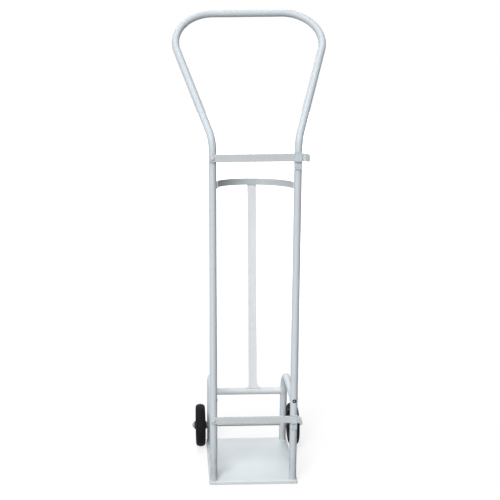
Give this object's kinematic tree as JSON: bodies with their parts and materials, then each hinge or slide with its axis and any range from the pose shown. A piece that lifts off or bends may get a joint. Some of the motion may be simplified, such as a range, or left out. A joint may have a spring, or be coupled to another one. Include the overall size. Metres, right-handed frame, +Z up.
{
  "type": "gas cylinder trolley",
  "caption": "Upright gas cylinder trolley: bent tube frame with a flared swept-back handle, base plate, curved cradle, swing-over retaining bars and rear wheels.",
  "frame": {"origin": "on the floor under the middle of the trolley's bounding box", "axes": "+X to the right of someone who faces the retaining bars, -Y the open front with the bars, +Y the wheels and handle, +Z up"},
  "size_m": [0.5334, 0.4147, 1.6312],
  "materials": {
    "frame_coat": "light grey powder coat, satin",
    "strip_coat": "light grey powder coat on flat bar",
    "plate_coat": "pale grey powder coat",
    "zinc": "bright zinc plate",
    "black_steel": "black oxide",
    "tyre_rubber": "solid black rubber",
    "wheel_plastic": "black moulded plastic",
    "nylon": "natural nylon"
  },
  "bodies": {
    "frame": {"main_frame": "frame_coat", "left_side_frame": "frame_coat", "right_side_frame": "frame_coat", "rear_cross_tube": "frame_coat", "base_plate": "plate_coat", "cradle_strip": "strip_coat", "spine_strip": "frame_coat", "upper_keeper": "frame_coat", "lower_keeper": "frame_coat", "upper_pivot_bolt": "zinc", "upper_pivot_bar_washer": "zinc", "upper_pivot_nut_washer": "zinc", "upper_pivot_nut": "zinc", "lower_pivot_bolt": "zinc", "lower_pivot_bar_washer": "zinc", "lower_pivot_nut_washer": "zinc", "lower_pivot_nut": "zinc", "side_frame_bolt": "black_steel", "axle": "zinc", "left_inner_washer": "zinc", "left_outer_washer": "zinc", "left_axle_cap": "zinc", "right_inner_washer": "zinc", "right_outer_washer": "zinc", "right_axle_cap": "zinc"},
    "left_wheel": {"left_tyre": "tyre_rubber", "left_wheel_centre": "wheel_plastic", "left_hub_bush": "nylon"},
    "right_wheel": {"right_tyre": "tyre_rubber", "right_wheel_centre": "wheel_plastic", "right_hub_bush": "nylon"},
    "upper_retaining_bar": {"upper_bar": "strip_coat"},
    "lower_retaining_bar": {"lower_bar": "strip_coat"}
  },
  "joints": [
    {"name": "left_wheel_spin", "type": "hinge", "parent": "frame", "child": "left_wheel", "pos_m": [-0.1773, 0.12018, 0.08], "axis": [1, 0, 0], "continuous": true},
    {"name": "right_wheel_spin", "type": "hinge", "parent": "frame", "child": "right_wheel", "pos_m": [0.1773, 0.12018, 0.08], "axis": [1, 0, 0], "continuous": true},
    {"name": "upper_bar_swing", "type": "hinge", "parent": "frame", "child": "upper_retaining_bar", "pos_m": [-0.139, -0.18274, 1.15756], "axis": [0, -1, 0], "range_deg": [0, 345]},
    {"name": "lower_bar_swing", "type": "hinge", "parent": "frame", "child": "lower_retaining_bar", "pos_m": [-0.139, -0.18274, 0.246], "axis": [0, -1, 0], "range_deg": [0, 220]}
  ]
}
